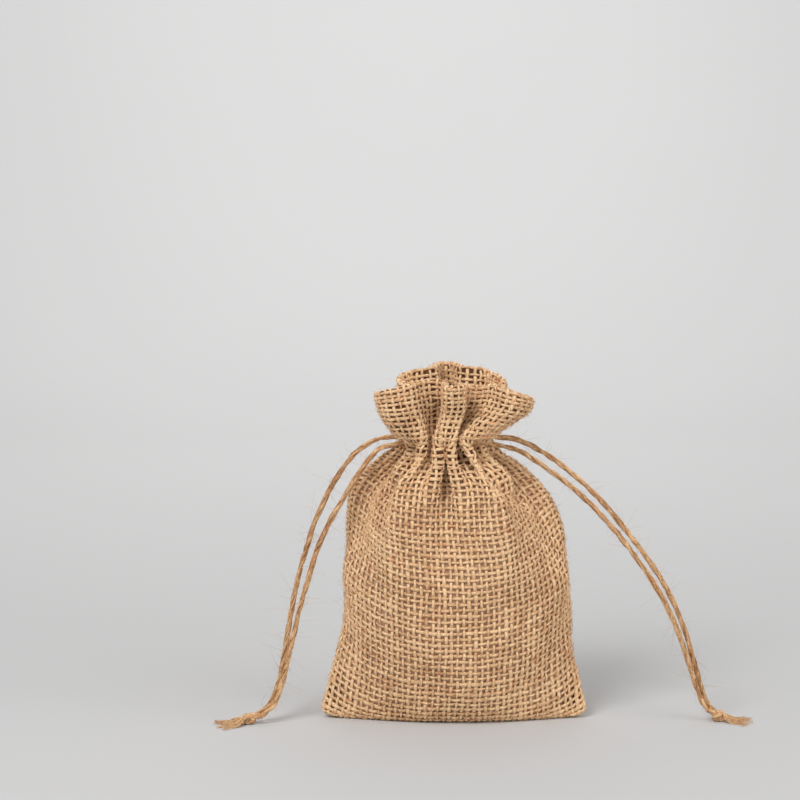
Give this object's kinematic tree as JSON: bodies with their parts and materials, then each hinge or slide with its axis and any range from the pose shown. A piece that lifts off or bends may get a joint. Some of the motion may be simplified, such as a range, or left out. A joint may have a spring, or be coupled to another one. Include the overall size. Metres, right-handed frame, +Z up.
{
  "type": "burlap sack",
  "caption": "Small drawstring sack of loosely woven hessian with a flared frill above the gathered neck and knotted twine ties.",
  "frame": {"origin": "on the surface under the sack, at the middle of the sack's own box in X and Y", "axes": "+Z up, +X along the bottom fold towards the right side seam as seen from the front, +Y towards the rear panel"},
  "size_m": [0.1987, 0.0442, 0.1277],
  "materials": {
    "hessian": "plain-weave natural jute, matte and hairy",
    "twine": "two-ply natural jute twine, matte and hairy"
  },
  "bodies": {
    "root": {"sack": "hessian", "cord_left_rear": "twine", "cord_left_front": "twine", "cord_right_rear": "twine", "cord_right_front": "twine", "knot_left": "twine", "knot_right": "twine"}
  },
  "joints": []
}
